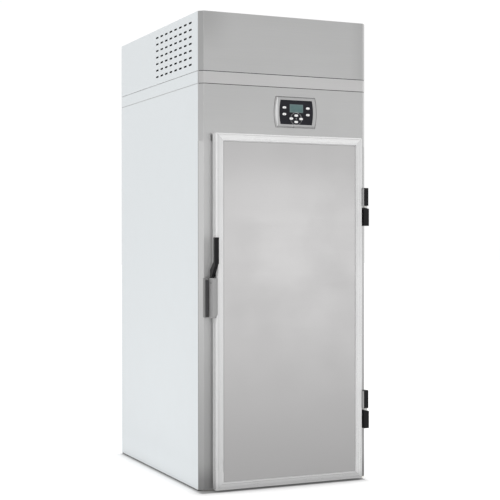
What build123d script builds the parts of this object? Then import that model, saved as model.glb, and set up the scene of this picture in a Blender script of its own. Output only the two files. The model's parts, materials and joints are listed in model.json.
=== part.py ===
from build123d import *
import os
import math

os.makedirs("parts", exist_ok=True)

# Roll-in retarder proofer cabinet, millimetres. X to the right seen from the
# front, Y to the back, Z up. Origin: centre of the base footprint, on the floor.

# ---- driving dimensions -------------------------------------------------
W = 950.0            # overall width
D = 1240.0           # depth of the cabinet body
H = 2400.0           # overall height
CH = 22.5            # chamfer on the two front corners
WALL = 60.0          # sandwich wall thickness
SKIN = 1.0           # painted sheet and liner thickness
ST = 1.2             # stainless front sheet thickness
BASE_H = 5.0         # height of the rails under the walls
Z_CEIL = 2040.0      # underside of the ceiling panel
Z_COMP = 2100.0      # top of the ceiling panel, floor of the technical compartment
SEAM = 3.0           # sealed joint between panels
JAMB = 100.0         # width of a door jamb
Z_HEAD = 1750.0      # top of the door opening
GAP = 0.2            # glue line round the foam

DOOR_L, DOOR_R = -411.0, 413.0
DOOR_B, DOOR_T = 11.0, 1788.0
GASKET = 15.0        # seal depth between frame and door
DOOR_TH = 50.0       # door thickness
PROF = 40.0          # width of the door's edge profile
PROF_R = 3.0         # rounded outer edge of the profile
BEAD = 1.2           # how far the two raised edges of the profile stand proud of its flat
LIP = 4.0            # bevel down to the recessed panel
GROOVE_Y = -655.0    # groove along the outer side of the profile
GROOVE_W, GROOVE_D = 3.0, 2.0
BEND = 3.0           # outer bend radius of the stainless sheets

HINGE_X, HINGE_Y = 431.0, -685.0
HINGE_Z = (272.0, 1330.0)
HINGE_H = 198.0
HINGE_SPLIT = 105.0
PIN_R = 6.0

SLOT_L, SLOT_W = 40.0, 9.6
SLOT_Y0, SLOT_DY, SLOT_NY = -494.0, 70.3, 8
SLOT_Z0, SLOT_DZ, SLOT_NZ = 2143.5, 35.4, 7

CTRL_X, CTRL_Z = 56.0, 1912.0
KEY_L, KEY_W = 20.5, 11.5
KEY_TRAVEL = 1.0

YF, YR = -D / 2, D / 2
XL, XR = -W / 2, W / 2
Y_DR = YF - GASKET           # rear face of the door
Y_DF = Y_DR - DOOR_TH        # front face of the door


# ---- helpers ------------------------------------------------------------
def box(x0, x1, y0, y1, z0, z1):
    return Pos((x0 + x1) / 2, (y0 + y1) / 2, (z0 + z1) / 2) * Box(x1 - x0, y1 - y0, z1 - z0)


def face_of(pts):
    return make_face(Polyline(*pts, close=True).edges())


def prism_z(pts, z0, z1):
    return extrude(Pos(0, 0, z0) * face_of(pts), amount=z1 - z0)


def plane_x(x):
    return Plane((x, 0, 0), x_dir=(0, 1, 0), z_dir=(1, 0, 0))


def plane_y(y):
    return Plane((0, y, 0), x_dir=(1, 0, 0), z_dir=(0, -1, 0))


def prism_x(pts, x0, x1):
    return extrude(plane_x(x0) * face_of(pts), amount=x1 - x0)


def prism_y(pts, y0, y1):
    return extrude(plane_y(y1) * face_of(pts), amount=y1 - y0)


def cyl_x(y, z, r, x0, x1):
    return extrude(plane_x(x0) * Pos(y, z) * Circle(r), amount=x1 - x0)


def cyl_y(x, z, r, y0, y1):
    return extrude(plane_y(y1) * Pos(x, z) * Circle(r), amount=y1 - y0)


def cyl_z(x, y, r, z0, z1):
    return extrude(Pos(x, y, z0) * Circle(r), amount=z1 - z0)


def mirror_x(shape):
    return mirror(shape, about=Plane.YZ)


def put(name, *shapes):
    solids = []
    for s in shapes:
        solids += list(s.solids())
    whole = solids[0] if len(solids) == 1 else Compound(solids)
    export_step(whole, "parts/" + name + ".step")


def offs(d):
    """Where the chamfer's parallel, d inside the outer faces, meets x and y lines."""
    return -(W / 2 + D / 2 - CH) + d * math.sqrt(2)


def bend(shape, corners, r):
    """Rounds the upright edges that stand at the given x, y corners."""
    found = [e for e in shape.edges().filter_by(Axis.Z)
             if any(abs(e.center().X - x) < 0.02 and abs(e.center().Y - y) < 0.02 for x, y in corners)]
    return fillet(found, r)


def front_outline(d, back, side=None):
    """Half-hexagon outline: front face and both chamfers set in by d, closed at y = back."""
    s = offs(d)
    x = XL + (d if side is None else side)
    return [(x, back), (x, s - x), (s - (YF + d), YF + d), (-(s - (YF + d)), YF + d), (-x, s - x), (-x, back)]


# sheet strip that forms the front face and the two chamfers
s_in = offs(ST)
STRIP = [
    (XL, YF + CH), (XL + CH, YF), (XR - CH, YF), (XR, YF + CH),
    (-(s_in - (YF + CH)), YF + CH), (-(s_in - (YF + ST)), YF + ST),
    (s_in - (YF + ST), YF + ST), (s_in - (YF + CH), YF + CH),
]

# ---- holes that pass through the shell ----------------------------------
DRAIN_X, DRAIN_Z = -300.0, 1830.0
STEAM_X, STEAM_Y = -100.0, 400.0
LINE_X, LINE_Y = 385.0, 180.0
GLAND_X, GLAND_Z = 300.0, 2160.0
ceiling_holes = cyl_z(STEAM_X, STEAM_Y, 12.6, 2030, 2110) + cyl_z(LINE_X, LINE_Y, 9.0, 2030, 2110)
drain_hole = cyl_y(DRAIN_X, DRAIN_Z, 12.4, 550, 630)

# ---- insulated walls ----------------------------------------------------
z_wt = Z_CEIL - SEAM
left_skin = box(XL, XL + SKIN, YF + CH, YR - SKIN, BASE_H, z_wt)
put("left_wall_skin", left_skin)
put("right_wall_skin", mirror_x(left_skin))
put("rear_wall_skin", box(XL, XR, YR - SKIN, YR, BASE_H, z_wt) - drain_hole)

side_core = box(XL + SKIN + GAP, XL + WALL - SKIN - GAP, YF + WALL + GAP, YR - SKIN - GAP, BASE_H + GAP, z_wt)
rear_core = box(XL + WALL + GAP, XR - WALL - GAP, YR - WALL + SKIN + GAP, YR - SKIN - GAP, BASE_H + GAP, z_wt) - drain_hole
c = ST + GAP
jamb_core_pts = [
    (XL + SKIN + GAP, YF + WALL - c), (XL + SKIN + GAP, offs(c) - (XL + SKIN + GAP)),
    (offs(c) - (YF + c), YF + c), (XL + JAMB - c, YF + c), (XL + JAMB - c, YF + WALL - c),
]
jamb_core = prism_z(jamb_core_pts, BASE_H + GAP, Z_HEAD - GAP)
head_core = prism_z(front_outline(c, YF + WALL - c, side=ST + SKIN + GAP), Z_HEAD + c, z_wt)
ceil_core = prism_z(front_outline(c, YR - SKIN - GAP), Z_CEIL + SKIN + GAP, Z_COMP - SKIN - GAP) - ceiling_holes
put("foam_cores", side_core, mirror_x(side_core), rear_core, jamb_core, mirror_x(jamb_core), head_core, ceil_core)

side_liner = box(XL + WALL - SKIN, XL + WALL, YF + WALL, YR - WALL + SKIN, BASE_H, z_wt)
rear_liner = box(XL + WALL, XR - WALL, YR - WALL, YR - WALL + SKIN, BASE_H, z_wt) - drain_hole
ceil_liner = box(XL + ST, XR - ST, YF + CH + 2, YR - ST, Z_CEIL, Z_CEIL + SKIN) - ceiling_holes
put("chamber_liner", side_liner, mirror_x(side_liner), rear_liner, ceil_liner)

tray_top = prism_z(
    [(XL, YF + CH), (s_in - (YF + CH), YF + CH), (s_in - (YF + ST), YF + ST), (-(s_in - (YF + ST)), YF + ST),
     (-(s_in - (YF + CH)), YF + CH), (XR, YF + CH), (XR, YR), (XL, YR)],
    Z_COMP - SKIN, Z_COMP)
tray_side = box(XL, XL + SKIN, YF + CH, YR, Z_CEIL, Z_COMP - SKIN)
tray_back = box(XL + SKIN, XR - SKIN, YR - SKIN, YR, Z_CEIL, Z_COMP - SKIN)
put("ceiling_skin", tray_top + tray_side + mirror_x(tray_side) + tray_back - ceiling_holes)
FOLDS = [(XL + CH, YF), (XR - CH, YF)]
put("ceiling_front_trim", bend(prism_z(STRIP, Z_CEIL, Z_COMP - SKIN), FOLDS, BEND))

# ---- stainless door surround --------------------------------------------
jamb = prism_z([
    (XL, YF + CH), (XL + CH, YF), (XL + JAMB, YF), (XL + JAMB, YF + WALL), (XL + WALL - SKIN, YF + WALL),
    (XL + WALL - SKIN, YF + WALL - ST), (XL + JAMB - ST, YF + WALL - ST), (XL + JAMB - ST, YF + ST),
    (s_in - (YF + ST), YF + ST), (s_in - (YF + CH), YF + CH),
], BASE_H, Z_HEAD)
jamb = bend(jamb, [(XL + CH, YF)], BEND)
jamb = bend(jamb, [(XL + JAMB, YF)], 1.8)
put("door_jambs", jamb, mirror_x(jamb))

head_out = prism_z([
    (XL, YF + CH), (XL + CH, YF), (XR - CH, YF), (XR, YF + CH), (XR - SKIN, YF + CH), (XR - SKIN, YF + WALL),
    (XL + SKIN, YF + WALL), (XL + SKIN, YF + CH)], Z_HEAD, z_wt)
head_in = prism_z(front_outline(ST, YF + WALL - ST, side=ST + SKIN), Z_HEAD + ST, z_wt + 5)
put("fascia_panel", bend(head_out, FOLDS, BEND) - head_in)

seal = prism_z(front_outline(2.0, YR - 2.0), z_wt, Z_CEIL) - prism_z(front_outline(22.0, YR - 22.0), z_wt - 1, Z_CEIL + 1)
put("panel_seals", seal, Pos(0, 0, Z_COMP - z_wt) * seal)

rail = box(XL + 2, XL + WALL - 2, YF + 26, YR - 2, 0, BASE_H)
put("base_rails", rail, mirror_x(rail), box(XL + WALL, XR - WALL, YR - WALL + 2, YR - 2, 0, BASE_H))
put("floor_pan",
    box(XL + WALL + 1, XR - WALL - 1, YF + WALL + 1, YR - WALL - 1, 0, 4)
    + box(XL + JAMB + 1, XR - JAMB - 1, YF + 2, YF + WALL + 1, 0, 4))

# ---- technical compartment ----------------------------------------------
z_cs = Z_COMP + SEAM
slots = [Pos(SLOT_Y0 + i * SLOT_DY, SLOT_Z0 + j * SLOT_DZ) * SlotOverall(SLOT_L, SLOT_W)
         for i in range(SLOT_NY) for j in range(SLOT_NZ)]
side_sheet = extrude(
    plane_x(XL) * (Pos((YF + CH + YR - ST) / 2, (z_cs + H) / 2) * Rectangle(YR - ST - YF - CH, H - z_cs) - slots),
    amount=ST)
put("compartment_side_sheets", side_sheet, mirror_x(side_sheet))

rear_slots = [Pos(-260 + i * 52, 2180 + j * 34) * SlotOverall(38, 10) for i in range(7) for j in range(5)]
rear_sheet = extrude(
    plane_y(YR) * (Pos(0, (z_cs + H) / 2) * Rectangle(W, H - z_cs) - rear_slots - Pos(GLAND_X, GLAND_Z) * Circle(10.2)),
    amount=ST)
put("compartment_rear_sheet", rear_sheet)
put("service_panel", bend(prism_z(STRIP, z_cs, H), FOLDS, BEND))
put("compartment_top_cover", prism_z(front_outline(ST + GAP, YR - ST - GAP), H - ST, H))

# ---- condensing unit ----------------------------------------------------
CPX, CPY = 120.0, 100.0
shell = cyl_z(CPX, CPY, 90, 2110, 2300)
shell = fillet(shell.edges().filter_by(GeomType.CIRCLE), 42)
feet = box(CPX - 105, CPX + 105, CPY - 80, CPY + 80, 2108, 2112)
comp = shell + feet
for sx in (-90, 90):
    for sy in (-65, 65):
        comp += cyl_z(CPX + sx, CPY + sy, 13, Z_COMP, 2108)
comp += box(CPX + 60, CPX + 104, CPY - 70, CPY - 10, 2150, 2230)
put("compressor", comp)

CY0, CY1, CX0, CX1 = -494.0, -2.0, -452.0, -400.0
def fin_pack(make_fin, ends, tubes):
    """Thin parallel fins with the tubes passing through them."""
    pack = make_fin(ends[0])
    return pack.fuse(*[make_fin(e) for e in ends[1:]], *[t.solid() for t in tubes])


c_rows = [(x, z) for x in (-439.0, -413.0) for z in (2130.0, 2170.0, 2190.0, 2230.0, 2270.0, 2310.0)]
n_fin = 31
c_fins = [CY0 + (CY1 - CY0 - 1.2) * i / (n_fin - 1) for i in range(n_fin)]
coil = fin_pack(lambda y: box(CX0, CX1, y, y + 1.2, 2104, 2372).solid(), c_fins,
                [cyl_y(x, z, 5, CY0 - 14, CY1 + 14) for x, z in c_rows])
for z0 in (2130.0, 2190.0, 2270.0):
    for x in (-439.0, -413.0):
        for yb in (CY0 - 9, CY1 + 9):
            coil += cyl_z(x, yb, 4.5, z0, z0 + 40)
coil += box(CX0, CX1, CY0 - 1, CY0 + 0.5, Z_COMP, 2372) + box(CX0, CX1, CY1 - 0.5, CY1 + 1, Z_COMP, 2372)
coil += box(CX0, CX1, CY0 - 1, CY1 + 1, 2370, 2372) + box(CX0, CX1, CY0 - 1, CY1 + 1, Z_COMP, 2104)
put("condenser_coil", coil)

FY, FZ = -248.0, 2238.0
shroud = box(CX1, CX1 + 1.5, CY0, CY1, 2104, 2372) - cyl_x(FY, FZ, 118, CX1 - 1, CX1 + 3)
shroud += cyl_x(FY, FZ, 120, CX1, CX1 + 42) - cyl_x(FY, FZ, 118, CX1 - 1, CX1 + 50)
put("condenser_shroud", shroud)


def fan(r_hub, r_tip, h, n, chord, pitch, root):
    """Axial fan about Z, hub from 0 to h."""
    hub = cyl_z(0, 0, r_hub, 0, h)
    for k in range(n):
        blade = Pos((r_hub - root + r_tip) / 2, 0, h / 2) * Rot(pitch, 0, 0) * Box(r_tip - r_hub + root, chord, 2.2)
        hub += Rot(0, 0, 360 / n * k) * blade
    return hub


cfan = fan(24, 108, 28, 5, 56, 24, 4) + cyl_z(0, 0, 4, 27, 50)
cfan = Plane((CX1 + 8, FY, FZ), x_dir=(0, 1, 0), z_dir=(1, 0, 0)) * cfan
put("condenser_fan", cfan)

mx = CX1 + 48.0
cmotor = cyl_x(FY, FZ, 38, mx, mx + 78) - cyl_x(FY, FZ, 4.05, mx - 1, mx + 14)
for a in (45, 135, 225, 315):
    ca, sa = math.cos(math.radians(a)), math.sin(math.radians(a))
    arm = Plane((mx + 4, FY, FZ), x_dir=(0, ca, sa), z_dir=(1, 0, 0)) * Pos(82, 0, 2) * Box(100, 12, 4)
    cmotor += arm
    cmotor += cyl_x(FY + 128 * ca, FZ + 128 * sa, 4, CX1 + 1.5, mx + 8)

EFX, EFY = 0.0, -250.0
Z_PL = 1800.0
emotor = cyl_z(EFX, EFY, 42, 1852, 1930) - cyl_z(EFX, EFY, 4.05, 1851, 1868)
emotor += box(EFX - 60, EFX + 60, EFY - 20, EFY + 20, 1930, 1934)
emotor += box(EFX - 60, EFX - 54, EFY - 20, EFY + 20, 1934, Z_CEIL) + box(EFX + 54, EFX + 60, EFY - 20, EFY + 20, 1934, Z_CEIL)
put("fan_motors", cmotor, emotor)

efan = fan(26, 128, 28, 5, 62, 24, 4) + cyl_z(0, 0, 4, 27, 52)
put("evaporator_fan", Pos(EFX, EFY, 1814) * efan)


def pipe(pts, radii, r, wall):
    path = FilletPolyline(*pts, radius=radii)
    start = Plane(origin=path @ 0, z_dir=path % 0)
    return sweep(start * (Circle(r) - Circle(r - wall)), path=path)


discharge = pipe([(29, 100, 2230), (-60, 100, 2230), (-60, 60, 2250), (-426, 60, 2250), (-426, CY1 + 1.5, 2250)], 18, 5, 1)
suction = pipe([(211, 100, 2180), (LINE_X, 100, 2180), (LINE_X, LINE_Y, 2180), (LINE_X, LINE_Y, 1950), (348.5, LINE_Y, 1950)], 26, 8, 1)
put("refrigerant_pipes", discharge, suction)

ebox = box(180, 400, 380, 540, Z_COMP, 2230)
ebox = fillet(ebox.edges().filter_by(Axis.Z), 8)
put("electrical_box", ebox + box(176, 404, 376, 544, 2230, 2236))

gl = cyl_y(GLAND_X, GLAND_Z, 10, YR - 14, YR + 2) + cyl_y(GLAND_X, GLAND_Z, 14, YR, YR + 5)
gl += cyl_y(GLAND_X, GLAND_Z, 12, YR + 5, YR + 16) + cyl_y(GLAND_X, GLAND_Z, 13.5, YR - 7, YR - ST)
gl -= cyl_y(GLAND_X, GLAND_Z, 5.5, YR - 20, YR + 20)
put("cable_gland", gl)

hum = cyl_z(STEAM_X, STEAM_Y, 70, 2106, 2300)
hum = fillet(hum.edges().filter_by(GeomType.CIRCLE), 16)
hum += cyl_z(STEAM_X, STEAM_Y, 12, 1985, 2110) - cyl_z(STEAM_X, STEAM_Y, 9, 1980, 2108)
for k in range(3):
    a = math.radians(90 + 120 * k)
    hum += cyl_z(STEAM_X + 50 * math.cos(a), STEAM_Y + 50 * math.sin(a), 9, Z_COMP, 2110)
put("steam_humidifier", hum)

# ---- air circuit in the chamber -----------------------------------------
EX = 340.0
n_fin = 29
e_fins = [-EX + (2 * EX - 1.2) * i / (n_fin - 1) for i in range(n_fin)]
e_rows = [(y, z) for y in (80.0, 140.0) for z in (1840.0, 1870.0, 1900.0, 1930.0, 1960.0, 1990.0)]
ev = fin_pack(lambda x: box(x, x + 1.2, 40, 240, 1822, 2010).solid(), e_fins,
              [cyl_x(y, z, 5, -EX - 14, EX + 4) for y, z in e_rows])
ev += box(-EX - 1, -EX + 0.5, 40, 240, 1822, Z_CEIL) + box(EX - 0.5, EX + 1, 40, 240, 1822, Z_CEIL)
ev += box(-EX - 1, EX + 1, 40, 240, 2008, 2010)
for y in (80.0, 140.0):
    for z0 in (1840.0, 1900.0, 1960.0):
        ev += cyl_z(-EX - 9, y, 4.5, z0, z0 + 30)
ev += cyl_x(LINE_Y, 1950, 9, EX, EX + 8)
put("evaporator_coil", ev)

pl = box(-413, 413, -545, 493, Z_PL, Z_PL + 1.5) - cyl_z(EFX, EFY, 140, Z_PL - 5, Z_PL + 5)
pl += box(-413, 413, -545, -543.5, Z_PL, 2030)
pl += box(-413, -411.5, -545, 493, Z_PL, Z_PL + 30) + box(411.5, 413, -545, 493, Z_PL, Z_PL + 30)
pl += cyl_z(EFX, EFY, 141.5, Z_PL, Z_PL + 30) - cyl_z(EFX, EFY, 140, Z_PL - 5, Z_PL + 40)
put("air_plenum", pl)

duct_slots = [Pos(sx * 150, 130 + j * 118) * SlotOverall(150, 12) for sx in (-1, 1) for j in range(14)]
duct = extrude(plane_y(496.5) * (Pos(0, 920) * Rectangle(660, 1760) - duct_slots), amount=1.5)
duct += box(-330, -328.5, 496.5, 559.5, 40, 1800) + box(328.5, 330, 496.5, 559.5, 40, 1800)
put("rear_air_duct", duct)

dr = cyl_y(DRAIN_X, DRAIN_Z, 12, 505, YR + 2) + cyl_y(DRAIN_X, DRAIN_Z, 16, YR, YR + 3)
dr += cyl_y(DRAIN_X, DRAIN_Z, 14, YR + 3, YR + 28)
dr += cyl_y(DRAIN_X, DRAIN_Z, 18, 500, 505)
dr -= cyl_y(DRAIN_X, DRAIN_Z, 10.5, 490, YR + 40)
put("drain_pipe", dr)

heat = FilletPolyline((-300, 300, 1850), (-300, 300, 1990), (300, 300, 1990), (300, 300, 1870), (-270, 300, 1870), radius=20)
heat_rod = sweep(Plane(origin=heat @ 0, z_dir=heat % 0) * Circle(4.2), path=heat)
put("heater_element", heat_rod)


def bumper(z):
    b = box(XL + WALL, XL + WALL + 20, -500, 470, z, z + 70)
    b += box(XL + WALL + 20, XL + WALL + 28, -480, 450, z + 8, z + 62)
    return b


put("trolley_bumpers", *[s for z in (210.0, 900.0) for s in (bumper(z), mirror_x(bumper(z)))])

# ---- door ---------------------------------------------------------------
g0, g1 = GROOVE_Y + GROOVE_W / 2, GROOVE_Y - GROOVE_W / 2
SEC = [(0, Y_DR), (0, g0), (GROOVE_D, g0), (GROOVE_D, g1), (0, g1),
       (0, Y_DF + PROF_R), (PROF_R, Y_DF), (6, Y_DF), (9, Y_DF + BEAD), (PROF - 12, Y_DF + BEAD),
       (PROF - 9, Y_DF), (PROF - LIP, Y_DF), (PROF - 1.8, Y_DF + LIP + 0.8), (PROF, Y_DF + LIP + 0.8), (PROF, Y_DR)]
HOL = [(2.5, Y_DR - 2.5), (2.5, g0 + 2.5), (2.5 + GROOVE_D, g0 + 2.5), (2.5 + GROOVE_D, g1 - 2.5), (2.5, g1 - 2.5), (2.5, Y_DF + 6), (5.5, Y_DF + 3), (PROF - 6, Y_DF + 3),
       (PROF - 3, Y_DF + LIP + 3), (PROF - 3, Y_DR - 2.5)]


def section(to_xy):
    """Outer section with a true quarter-round edge, and the hollow."""
    p = [to_xy(u, y) for u, y in SEC]
    k = PROF_R * (1 - math.sqrt(0.5))
    mid = to_xy(k, Y_DF + k)
    edges = [ThreePointArc(p[5], mid, p[6])]
    edges += [Line(p[i], p[(i + 1) % len(p)]) for i in range(len(p)) if i != 5]
    outer = make_face([e.edge() for e in edges])
    return outer - face_of([to_xy(u, y) for u, y in HOL])


def bar(side):
    if side in "LR":
        s = 1 if side == "L" else -1
        x0 = DOOR_L if side == "L" else DOOR_R
        b = extrude(Pos(0, 0, DOOR_B) * section(lambda u, y: (x0 + s * u, y)), amount=DOOR_T - DOOR_B)
        cut = [(x0, DOOR_B), (x0 + s * PROF, DOOR_B + PROF), (x0 + s * PROF, DOOR_T - PROF), (x0, DOOR_T)]
    else:
        s = 1 if side == "B" else -1
        z0 = DOOR_B if side == "B" else DOOR_T
        b = extrude(plane_x(DOOR_L) * section(lambda u, y: (y, z0 + s * u)), amount=DOOR_R - DOOR_L)
        cut = [(DOOR_L, z0), (DOOR_R, z0), (DOOR_R - PROF, z0 + s * PROF), (DOOR_L + PROF, z0 + s * PROF)]
    return b & prism_y(cut, Y_DF - 5, Y_DR + 5)


put("door_frame_profiles", bar("L"), bar("R"), bar("T"), bar("B"))
il, ir, ib, it = DOOR_L + PROF, DOOR_R - PROF, DOOR_B + PROF, DOOR_T - PROF
put("door_skin", box(il, ir, Y_DF + LIP, Y_DF + LIP + SKIN, ib, it))
put("door_liner", box(il, ir, Y_DR - SKIN, Y_DR, ib, it))
put("door_core", box(il + GAP, ir - GAP, Y_DF + LIP + SKIN + GAP, Y_DR - SKIN - GAP, ib + GAP, it - GAP))

gl0, gl1, gt = DOOR_L + 8, DOOR_L + 30, DOOR_T - 8
gr0, gr1 = DOOR_R - 8, DOOR_R - 30


def seal_bar(x0, x1, z0, z1):
    b = box(x0, x1, Y_DR, YF - 0.05, z0, z1)
    inner = box(x0 + 3, x1 - 3, Y_DR + 3, YF - 3, z0, z1) if (x1 - x0) < (z1 - z0) else box(x0, x1, Y_DR + 3, YF - 3, z0 + 3, z1 - 3)
    return b - inner


put("door_gasket",
    seal_bar(gl0, gl1, DOOR_B, gt - 22), seal_bar(gr1, gr0, DOOR_B, gt - 22), seal_bar(gl0, gr0, gt - 22, gt),
    box(gl1, gr1, Y_DR - 10, Y_DR - 2, 5.4, DOOR_B))

# ---- hinges: lower half on the jamb, upper half on the door --------------
f_half, d_half, covers, pins, bushes = [], [], [], [], []
for z in HINGE_Z:
    kn = box(418.5, 449, -698, -664, z, z + 100)
    kn = fillet(kn.edges().filter_by(Axis.Z), 5)
    arm = box(428, 449, -668, YF - 2.5, z + 6, z + 84)
    plate = box(417, 451, YF - 2.5, YF, z, z + 95)
    top_cut = prism_y([(400, z + 99), (460, z + 99 - 60 * 0.2), (460, z + 120), (400, z + 120)], -720, -600)
    hole = cyl_z(HINGE_X, HINGE_Y, PIN_R + 0.01, z + 20, z + 110)
    fh = kn + arm + plate - top_cut - hole
    f_half.append(fh)
    bush = cyl_z(HINGE_X, HINGE_Y, 11.5, z + 85, z + HINGE_SPLIT - 0.4) - cyl_z(HINGE_X, HINGE_Y, PIN_R + 0.02, z, z + 150)
    keep = prism_y([(400, z + 99), (460, z + 99 - 60 * 0.2), (460, z + 120), (400, z + 120)], -720, -600)
    bushes.append(bush & keep)
    z0, z1 = z + HINGE_SPLIT, z + HINGE_H
    blk = box(DOOR_R, 441, -697, -667, z0, z1 - 2.4)
    leaf = box(DOOR_R, DOOR_R + 4, -667.5, Y_DR - 2, z0, z1 - 2.4)
    dh = blk + leaf - cyl_z(HINGE_X, HINGE_Y, PIN_R + 0.05, z0 - 1, z1 - 12)
    d_half.append(dh)
    cov = box(418, 443.4, -699.4, -666, z0, z1)
    cov = fillet(cov.edges().filter_by(Axis.Z), 1.8)
    cov -= box(410, 441, -697, -660, z0 - 1, z1 - 2.4)
    covers.append(cov)
    pins.append(cyl_z(HINGE_X, HINGE_Y, PIN_R, z + 20, z1 - 14))
put("hinge_frame_halves", *f_half)
put("hinge_door_halves", *d_half)
put("hinge_covers", *covers)
put("hinge_pins", *pins)
put("hinge_bushes", *bushes)

# ---- push-off latch ------------------------------------------------------
LX0, LX1 = -433.0, -415.0          # width of lever and latch housing
LPY, LPZ = -664.0, 1042.0          # lever pivot
Z_LB, Z_LT = 868.0, 1067.0
FLANGE_X = -406.0                   # inner edge of the flange on the door's front
body = prism_z([
    (LX0, -642), (DOOR_L - 0.2, -642), (DOOR_L - 0.2, Y_DF - 0.1), (FLANGE_X, Y_DF - 0.1), (FLANGE_X, Y_DF - 4),
    (LX1, Y_DF - 4), (LX1, Y_DF - 8), (LX0, Y_DF - 8)], Z_LB, Z_LT)
body = bend(body, [(LX0, -642), (LX0, Y_DF - 8), (FLANGE_X, Y_DF - 4)], 1.6)
ear = face_of([(LX1 + 0.6, Z_LT - 8), (-408, Z_LT - 8), (-408, Z_LT + 6), (-403.5, 1096), (-403, 1132), (-406.5, 1146), (LX1 + 0.6, 1150)])
ear = extrude(plane_y(Y_DF - 0.1) * ear, amount=3.9)
ear = fillet(ear.edges().filter_by(Axis.Y).group_by(Axis.Z)[-1], 3)
body += ear
body -= prism_y([(FLANGE_X + 0.5, Z_LB - 1), (FLANGE_X + 0.5, Z_LB + 22), (-416, Z_LB - 1)], Y_DF - 6, Y_DF + 1)
body -= prism_x([(Y_DF - 20, Z_LB - 1), (Y_DF + 6, Z_LB - 1), (Y_DF - 10, Z_LB + 14), (Y_DF - 20, Z_LB + 14)], LX0 - 1, LX1)
SX0, SX1 = -429.5, -418.5
body -= box(SX0, SX1, Y_DF - 5.5, -649, 1012, Z_LT + 5)
body -= cyl_y(-424, LPZ - 18, 5.05, -650, -640)
body -= cyl_x(LPY, LPZ, 4.01, LX0 - 1, -412.6)
groove = box(LX0 - 1, LX0 + 0.7, Y_DF - 10, -640, 1009.4, 1010.6) + box(LX0 - 1, LX1, Y_DF - 9, Y_DF - 7.3, 1009.4, 1010.6)
body -= groove
put("latch_body", body)
put("lever_pin", cyl_x(LPY, LPZ, 4.0, LX0, -412.7))

t20 = math.tan(math.radians(20))
arm_pts = [
    (LPY + 13, LPZ + 4), (LPY + 13, 1106), (-695, 1148), (-695, 1266), (-698, 1269), (-715, 1269), (-718, 1266),
    (-718, 1130), (-678, 1078), (-675, LPZ + 4), (LPY - 5, LPZ - 6), (LPY - 5, LPZ - 26), (LPY + 5, LPZ - 26),
    (LPY + 5, LPZ - 6)]
lever = prism_x(arm_pts, LX0, LX1)
rim = [e for e in lever.edges() if e.center().Z > 1074 and not (abs(e.center().X - (LX0 + LX1) / 2) < 1 and e.center().Z < 1200)]
lever = fillet(rim, 1.8)
# thumb edge: the grip is wider than the arm on the side of the door panel
grip = prism_x([(-692, 1142), (-692, 1266), (-695, 1269), (-715, 1269), (-718, 1266), (-718, 1136)], LX1 - 5, LX1 + 4.3)
grip = fillet([e for e in grip.edges() if e.center().X > LX1 + 4], 1.8)
lever += grip
lever += cyl_x(LPY, LPZ, 9.5, SX0 + 0.2, SX1 - 0.2)
# below this slanted line the arm is narrow and turns inside the housing
zb = Z_LT + 0.35
y_kink = LPY + (zb - LPZ) * (1 - math.cos(math.radians(20))) / math.sin(math.radians(20))
low = [(-730, zb + (y_kink + 730) * t20), (y_kink, zb), (-640, zb), (-640, 1000), (-730, 1000)]
for x0, x1 in ((LX0 - 1, SX0 + 0.2), (SX1 - 0.2, LX1 + 1)):
    lever -= prism_x(low, x0, x1)
lever -= cyl_x(LPY, LPZ, 4.05, LX0 - 2, LX1 + 2)
put("latch_lever", lever)
put("latch_plunger", cyl_y(-424, LPZ - 18, 5.0, -658.7, -642.5))

KX0, KX1 = -456.5, -434.6
keeper = box(KX0, -414, YF - 12.5, YF, 870, 1066) + box(KX0, KX1, YF - 17, YF - 12.5, 870, 1066)
put("latch_keeper", keeper)
pad = box(KX0 + 5.5, KX1 - 1.4, YF - 21, YF - 17, 872, 1056)
pad = fillet(pad.edges().filter_by(Axis.Z), 1.2)
put("keeper_pad", pad)

# ---- control panel -------------------------------------------------------
Y_BZ, Y_OV, Y_OVR = YF - 12, YF - 10.5, YF - 6.5


def bulged(hw, hw_mid, hh, y):
    """Face with straight top and bottom and sides that bow outwards."""
    e = [Line((-hw, -hh), (hw, -hh)), ThreePointArc((hw, -hh), (hw_mid, 0), (hw, hh)),
         Line((hw, hh), (-hw, hh)), ThreePointArc((-hw, hh), (-hw_mid, 0), (-hw, -hh))]
    return plane_y(y) * Pos(CTRL_X, CTRL_Z) * make_face([i.edge() for i in e])


bezel = loft([bulged(111, 121, 79, YF), bulged(106, 116, 74.5, Y_BZ)])
bezel = fillet(bezel.faces().sort_by(Axis.Y)[0].edges(), 7)
bezel -= extrude(bulged(90.1, 96.6, 62.6, Y_OVR), amount=10)
bezel -= extrude(bulged(86, 92.5, 58.5, YF + 1), amount=10)
put("control_bezel", bezel)

keys = {
    "key_left_upper": (-67.5, 23.5), "key_left_lower": (-67.5, -10.5),
    "key_right_upper": (67.0, 23.5), "key_right_lower": (67.0, -10.5),
    "key_up": (0.0, -15.5), "key_down": (0.0, -48.5),
    "key_left": (-28.0, -32.0), "key_right": (28.0, -32.0),
}
LCD = (1.5, 20.5, 76.5, 42.0)
overlay = extrude(bulged(90, 96.5, 62.5, Y_OVR), amount=4)


def pad_y(dx, dz, l, w, y0, y1):
    return extrude(plane_y(y1) * Pos(CTRL_X + dx, CTRL_Z + dz) * SlotOverall(l, w), amount=y1 - y0)


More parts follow.
